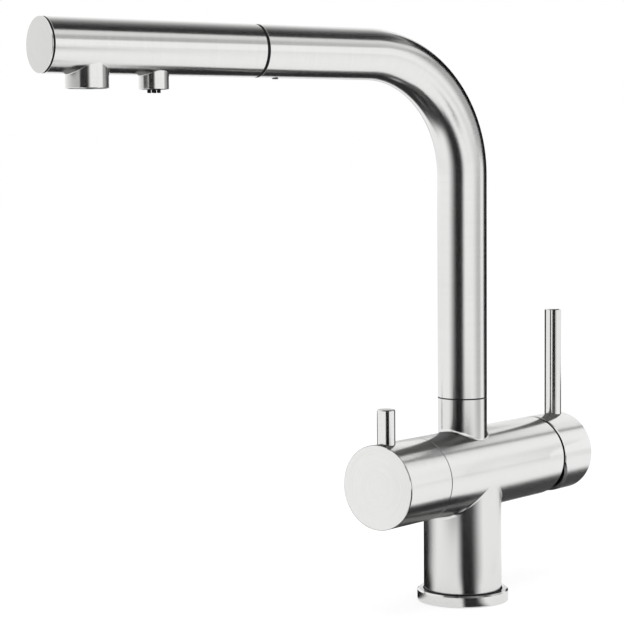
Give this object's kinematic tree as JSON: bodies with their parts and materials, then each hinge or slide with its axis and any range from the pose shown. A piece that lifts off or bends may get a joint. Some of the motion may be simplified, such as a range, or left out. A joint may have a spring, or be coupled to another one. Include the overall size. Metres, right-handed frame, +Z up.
{
  "type": "three-way kitchen tap",
  "caption": "Deck-mounted brushed steel kitchen tap with a swivelling bent spout, a pull-out head for mixed and filtered water, a tilting mixer handle and a turning filter knob.",
  "frame": {"origin": "centre of the foot on the deck, on the column's axis", "axes": "+X along the crossbar towards the mixer handle, the filter knob at -X; -Y towards the user; +Z up"},
  "size_m": [0.3619, 0.1108, 0.323],
  "materials": {
    "brushed_steel": "brushed, satin",
    "plain_steel": "plain, turned",
    "turned_brass": "turned",
    "black_plastic": "moulded, matt",
    "grey_plastic": "moulded, matt",
    "white_plastic": "moulded, matt",
    "white_ceramic": "ground and polished",
    "black_rubber": "moulded"
  },
  "bodies": {
    "body": {"base_flange": "brushed_steel", "base_seal": "black_rubber", "mixer_body": "brushed_steel", "cartridge_base": "grey_plastic", "cartridge_seals": "black_rubber", "mixer_fixed_disc": "white_ceramic", "cartridge_housing": "grey_plastic", "cartridge_nut": "black_plastic", "valve_housing": "turned_brass", "valve_seal": "black_rubber", "valve_fixed_disc": "white_ceramic", "spout_screw": "plain_steel"},
    "rotor": {"lever_carrier": "white_plastic", "stem_pin": "plain_steel"},
    "mixing_disc": {"mixer_moving_disc": "white_ceramic", "disc_carrier": "grey_plastic"},
    "handle": {"cartridge_stem": "turned_brass", "handle_cap": "brushed_steel", "mixer_lever": "brushed_steel", "handle_screw": "plain_steel"},
    "knob": {"filter_knob": "brushed_steel", "filter_lever": "brushed_steel", "knob_screw": "plain_steel", "valve_spindle": "turned_brass", "spindle_seals": "black_rubber", "valve_moving_disc": "white_ceramic"},
    "spout": {"spout_tube": "brushed_steel", "swivel_sleeve": "turned_brass", "swivel_seals": "black_rubber", "swivel_washer": "black_plastic", "dock_sleeve": "black_plastic", "dock_screw": "plain_steel"},
    "head": {"head_shell": "brushed_steel", "head_end_cap": "brushed_steel", "head_core": "white_plastic", "head_spigot": "black_plastic", "outlet_collar": "brushed_steel", "aerator_insert": "grey_plastic", "aerator_seal": "black_rubber", "filter_outlet": "brushed_steel", "filter_nozzle": "black_rubber"}
  },
  "joints": [
    {"name": "spout_swivel", "type": "hinge", "parent": "body", "child": "spout", "pos_m": [0, 0, 0.1163], "axis": [0, 0, 1], "range_deg": [-14.4, 225.6]},
    {"name": "head_pull", "type": "slide", "parent": "spout", "child": "head", "axis": [-0.9632, 0.2689, 0], "range_m": [0, 0.2]},
    {"name": "handle_turn", "type": "hinge", "parent": "body", "child": "rotor", "pos_m": [0.062, 0, 0.0745], "axis": [1, 0, 0], "range_deg": [-45, 45]},
    {"name": "handle_tilt", "type": "hinge", "parent": "rotor", "child": "handle", "pos_m": [0.062, 0, 0.0745], "axis": [0, 1, 0], "range_deg": [0, 22]},
    {"name": "disc_slide", "type": "slide", "parent": "rotor", "child": "mixing_disc", "axis": [0, 0, 1], "range_m": [0, 0.0049]},
    {"name": "filter_turn", "type": "hinge", "parent": "body", "child": "knob", "pos_m": [-0.07, 0, 0.0745], "axis": [1, 0, 0], "range_deg": [0, 90]}
  ],
  "couplings": [
    {"joint": "disc_slide", "follows": "handle_tilt", "m_per_rad": 0.012683}
  ]
}
